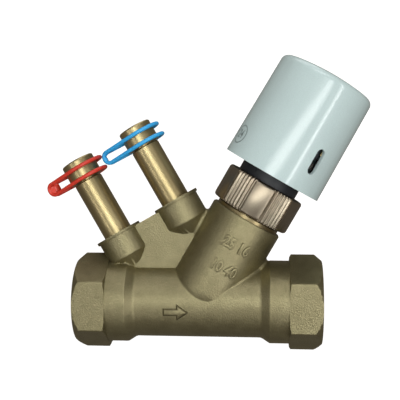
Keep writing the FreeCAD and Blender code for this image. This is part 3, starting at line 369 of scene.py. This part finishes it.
def nut_mesh():
    """The nut's section spun round its axis, with the ribs then pressed into its side."""
    outer = [(NUT_RADIUS - side, NUT_FOOT + end) for side, end in NUT_ROUNDING]
    outer += [(NUT_RADIUS - side, NUT_TOP - end) for side, end in reversed(NUT_ROUNDING)]
    inner = [(NUT_HOLE, NUT_TOP), (NUT_HOLE, NUT_SHOULDER), (NUT_BORE, NUT_SHOULDER),
             (NUT_BORE, NUT_FOOT)]
    work = bmesh.new()
    verts = [work.verts.new((r * MM, 0.0, z * MM)) for r, z in outer + inner]
    edges = [work.edges.new(pair) for pair in zip(verts, verts[1:] + verts[:1])]
    bmesh.ops.spin(work, geom=verts + edges, cent=(0, 0, 0), axis=(0, 0, 1),
                   angle=math.tau, steps=NUT_STEPS, use_merge=True)
    bmesh.ops.remove_doubles(work, verts=work.verts, dist=0.001 * MM)
    bmesh.ops.recalc_face_normals(work, faces=work.faces)
    rib_floor = (NUT_RADIUS - RIB_RUNOUT) * MM
    for vert in work.verts:
        radius = vert.co.xy.length
        if radius > rib_floor:
            share = min(1.0, (radius - rib_floor) / (RIB_RUNOUT * MM))
            cut = share * rib_cut(math.atan2(vert.co.y, vert.co.x)) * MM
            vert.co.xy = vert.co.xy * ((radius - cut) / radius)
    work.transform(NECK)
    return finish_mesh("union_nut_grip", work, crease=40.0)


link_piece("union_nut_grip", nut_mesh(), nut_metal, "nut", "nickel_brass", "union_nut")


# Drive base, moulded from black glass-filled plastic. The nut hangs on its neck, and only
# its collar between the nut and the pale cover can be seen.
black_plastic = grained("black_plastic", ((0.012, 0.014, 0.017), (0.022, 0.025, 0.030)),
                        rough=(0.42, 0.55), metallic=0.0, patches=60.0, grains=2200.0,
                        bump=0.15)
cad_copy("drive_base", "actuator_base", black_plastic, "actuator", "black_plastic")


# Drive cover, a pale grey-green moulding with a slightly drafted side, a rounded shoulder
# and a shallow dome. It snaps over the base, and a slot near its foot shows the position
# indicator.
cover_plastic = grained("cover_plastic", ((0.535, 0.655, 0.655), (0.56, 0.685, 0.685)),
                        rough=(0.16, 0.22), metallic=0.0, patches=25.0, grains=3000.0,
                        bump=0.03)
cad_copy("drive_cover", "actuator_housing", cover_plastic, "actuator", "white_plastic")


# Plain mark printed in grey on the cover near its foot: a thin ring round a number. It
# follows the draft of the cover's side.
COVER_FOOT, COVER_RADIUS, COVER_DRAFT = 68.5, 24.1, 1.0 / 53.2
MARK_LEVEL, MARK_TURN, MARK_LIFT = 77.8, math.radians(-64.0), 0.04
RING_RADIUS, RING_WIDTH = 4.6, 0.55
NUMBER_LENGTH, NUMBER_HEIGHT, PRINT_DEPTH, PRINT_WIDEN = 4.4, 4.2, 0.02, 0.1
print_grey = grained("print_grey", ((0.22, 0.28, 0.28), (0.26, 0.33, 0.33)),
                     rough=(0.35, 0.45), metallic=0.0, patches=60.0, grains=2000.0,
                     bump=0.03)


def ring_mark():
    work = bmesh.new()
    bmesh.ops.create_circle(work, cap_ends=True, segments=64, radius=RING_RADIUS)
    middle = work.faces[:]
    bmesh.ops.inset_region(work, faces=middle, thickness=RING_WIDTH, use_boundary=True)
    bmesh.ops.delete(work, geom=middle, context="FACES")
    flat = bpy.data.meshes.new("ring_mark")
    work.to_mesh(flat)
    work.free()
    return flat


cover_marks = {"cover_ring_mark": ring_mark(),
               "cover_number": raised_figures("cover_number", "24", NUMBER_LENGTH,
                                              NUMBER_HEIGHT, PRINT_DEPTH, PRINT_WIDEN)}
mark_radius = COVER_RADIUS - COVER_DRAFT * (MARK_LEVEL - COVER_FOOT)
for name, flat in cover_marks.items():
    work = wrapped(flat, mark_radius, MARK_TURN, MARK_LEVEL, MARK_LIFT, COVER_DRAFT)
    link_piece(name, finish_mesh(name, work), print_grey, "actuator", "white_plastic")


# Test points, turned brass tubes screwed into the two bosses, each closed by a domed screw
# cap with a narrow neck where its strap sits.
nipple_brass = grained("nipple_brass", ((0.36, 0.285, 0.145), (0.47, 0.385, 0.205)),
                       rough=(0.34, 0.38), metallic=0.95, patches=30.0, grains=2600.0,
                       bump=0.10)
for side in ("red", "blue"):
    cad_copy(side + "_test_tube", side + "_nipple", nipple_brass, "valve", "turned_brass")
    cad_copy(side + "_screw_cap", side + "_cap", nipple_brass, side + "_cap", "turned_brass")


# Straps, soft plastic cords, each moulded as two rings joined at a fold and slipped over
# its test point. Red marks the inlet and blue the outlet.
STRAP_TONES = {"red": ((0.60, 0.034, 0.018), (0.70, 0.048, 0.026)),
               "blue": ((0.030, 0.38, 0.80), (0.045, 0.45, 0.90))}
for side, tones in STRAP_TONES.items():
    plastic = grained(side + "_plastic", tones, rough=(0.32, 0.42), metallic=0.0,
                      patches=60.0, grains=1500.0, bump=0.08)
    cad_copy(side + "_cord_strap", side + "_strap", plastic, "valve", side + "_plastic")


# The works behind the cover and in the bores: turned brass, steel springs, pins and motor,
# moulded gears, a printed board and rubber seals. Their CAD meshes have the right shapes
# and only get their finishes.
WORKS_FINISHES = {
    "black_rubber": grained("black_rubber", ((0.010, 0.010, 0.010), (0.018, 0.018, 0.018)),
                            rough=(0.55, 0.70), metallic=0.0, patches=80.0, grains=1800.0,
                            bump=0.2),
    "steel": grained("steel", ((0.50, 0.50, 0.52), (0.60, 0.60, 0.62)),
                     rough=(0.20, 0.32), metallic=1.0, patches=60.0, grains=2400.0,
                     bump=0.05),
    "gear_plastic": grained("gear_plastic", ((0.70, 0.68, 0.60), (0.76, 0.74, 0.67)),
                            rough=(0.35, 0.45), metallic=0.0, patches=60.0, grains=2000.0,
                            bump=0.05),
    "board": grained("board", ((0.010, 0.055, 0.020), (0.015, 0.080, 0.030)),
                     rough=(0.30, 0.40), metallic=0.0, patches=60.0, grains=2000.0,
                     bump=0.05),
    "turned_brass": machined_brass,
    "black_plastic": black_plastic,
}
FINISH_OF_SLOT = {"spring_steel": "steel", "motor_can": "steel", "dial_plastic": "gear_plastic",
                  "signal_plastic": "black_plastic", "board_parts": "black_plastic"}
for part in frame["record"]["subparts"]:
    finish = FINISH_OF_SLOT.get(part["material_slot"], part["material_slot"])
    if finish in WORKS_FINISHES:
        node_mesh = frame["nodes"][part["node"]].data
        node_mesh.materials.clear()
        node_mesh.materials.append(WORKS_FINISHES[finish])


# Plain white floor that curves up into a backdrop, lower than the valve, which hangs in its
# pipes. Only the camera sees it, so the metal mirrors the dim room and the soft boxes.
FLOOR_LEVEL, FLOOR_FRONT, FLOOR_BACK = -0.10, -0.9, 0.45
SWEEP_RADIUS, WALL_TOP = 0.25, 1.4
STAGE_LEFT, STAGE_WIDTH = -1.6, 3.2
white, _, white_shader = new_material("studio_white")
white_shader.inputs["Base Color"].default_value = (0.9, 0.9, 0.9, 1.0)
white_shader.inputs["Roughness"].default_value = 0.9
white_shader.inputs["Emission Color"].default_value = (1.0, 1.0, 1.0, 1.0)
white_shader.inputs["Emission Strength"].default_value = 0.75


def backdrop_mesh():
    line = [(FLOOR_FRONT, FLOOR_LEVEL), (FLOOR_BACK, FLOOR_LEVEL)]
    for turn in range(10, 100, 10):
        angle = math.radians(turn)
        line.append((FLOOR_BACK + SWEEP_RADIUS * math.sin(angle),
                     FLOOR_LEVEL + SWEEP_RADIUS * (1 - math.cos(angle))))
    line.append((FLOOR_BACK + SWEEP_RADIUS, WALL_TOP))
    sweep = bmesh.new()
    verts = [sweep.verts.new((STAGE_LEFT, y, z)) for y, z in line]
    edges = [sweep.edges.new(pair) for pair in zip(verts, verts[1:])]
    drawn = bmesh.ops.extrude_edge_only(sweep, edges=edges)["geom"]
    far_side = [part for part in drawn if isinstance(part, bmesh.types.BMVert)]
    bmesh.ops.translate(sweep, vec=(STAGE_WIDTH, 0, 0), verts=far_side)
    return finish_mesh("backdrop", sweep, crease=60.0)


backdrop = bpy.data.objects.new("backdrop", backdrop_mesh())
bpy.context.scene.collection.objects.link(backdrop)
backdrop.data.materials.append(white)
backdrop.visible_glossy = False
backdrop.visible_diffuse = False
backdrop.visible_shadow = False


# Soft studio light: a dim warm room, a wide box in front, one above it, a narrow strip at
# each side along the hexagons' edges, and a large box overhead.
LIT_POINT = Vector((0.057, 0.0, 0.045))
scene = bpy.context.scene
scene.view_settings.view_transform = "Standard"
scene.world = bpy.data.worlds.new("studio")
scene.world.use_nodes = True
room = scene.world.node_tree.nodes["Background"]
room.inputs["Color"].default_value = (1.0, 0.90, 0.78, 1.0)
room.inputs["Strength"].default_value = 0.15


def softbox(name, place, size, power, colour=(1.0, 1.0, 1.0), upright=(0.0, 0.0, 1.0)):
    """Area light that faces the valve, with its second side along a given direction."""
    light = bpy.data.lights.new(name, "AREA")
    light.shape = "RECTANGLE"
    light.size, light.size_y = size
    light.energy = power
    light.color = colour
    lamp = bpy.data.objects.new(name, light)
    lamp.location = place
    back = (Vector(place) - LIT_POINT).normalized()
    across = Vector(upright).cross(back).normalized()
    turn = Matrix((across, back.cross(across), back)).transposed()
    lamp.rotation_euler = turn.to_euler()
    scene.collection.objects.link(lamp)


softbox("front", (0.09, -0.60, 0.11), (0.40, 0.12), 1.25, colour=(0.97, 1.0, 0.98))
softbox("high", (0.10, -0.42, 0.52), (0.50, 0.10), 0.9)
softbox("left_strip", (-0.34, -0.56, -0.12), (0.06, 0.90), 1.0, upright=(-0.5, 0.0, 0.866))
softbox("right_strip", (0.48, -0.55, -0.09), (0.04, 0.90), 2.2, upright=(0.5, 0.0, 0.866))
softbox("top", (0.05, 0.05, 0.75), (0.60, 0.40), 1.4)


# Camera at the photograph's viewing angle: a little to the right of the valve and a little
# above it, with the valve filling the frame.
EYE = Vector((0.088, -0.387, 0.068))
AIM = Vector((0.0573, 0.0, 0.0475))
camera_data = bpy.data.cameras.new("camera")
camera_data.sensor_width = 36.0
camera_data.lens = 74.7
camera = bpy.data.objects.new("camera", camera_data)
camera.location = EYE
camera.rotation_euler = (AIM - EYE).to_track_quat("-Z", "Y").to_euler()
scene.collection.objects.link(camera)
scene.camera = camera
